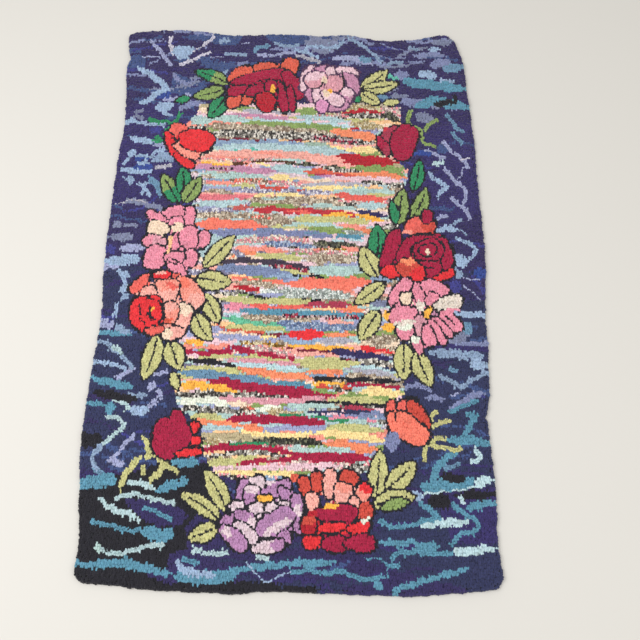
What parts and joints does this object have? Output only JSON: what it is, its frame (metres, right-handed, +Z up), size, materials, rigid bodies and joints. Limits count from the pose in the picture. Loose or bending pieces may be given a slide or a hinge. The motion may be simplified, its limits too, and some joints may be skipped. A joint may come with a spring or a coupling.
{
  "type": "hooked rug",
  "caption": "Handmade hooked wool rug lying flat, with a wreath of roses and buds round a striped centre on a dark marbled ground.",
  "frame": {"origin": "on the floor, under the middle of the rug's box", "axes": "+Y along the rug's length, towards the far end in the picture; +X across it, to the right in the picture; +Z up through the pile"},
  "size_m": [0.8888, 1.3862, 0.0127],
  "materials": {
    "wool_pile": "matt hand-hooked wool pile in many colours"
  },
  "bodies": {
    "root": {"rug": "wool_pile"}
  },
  "joints": []
}
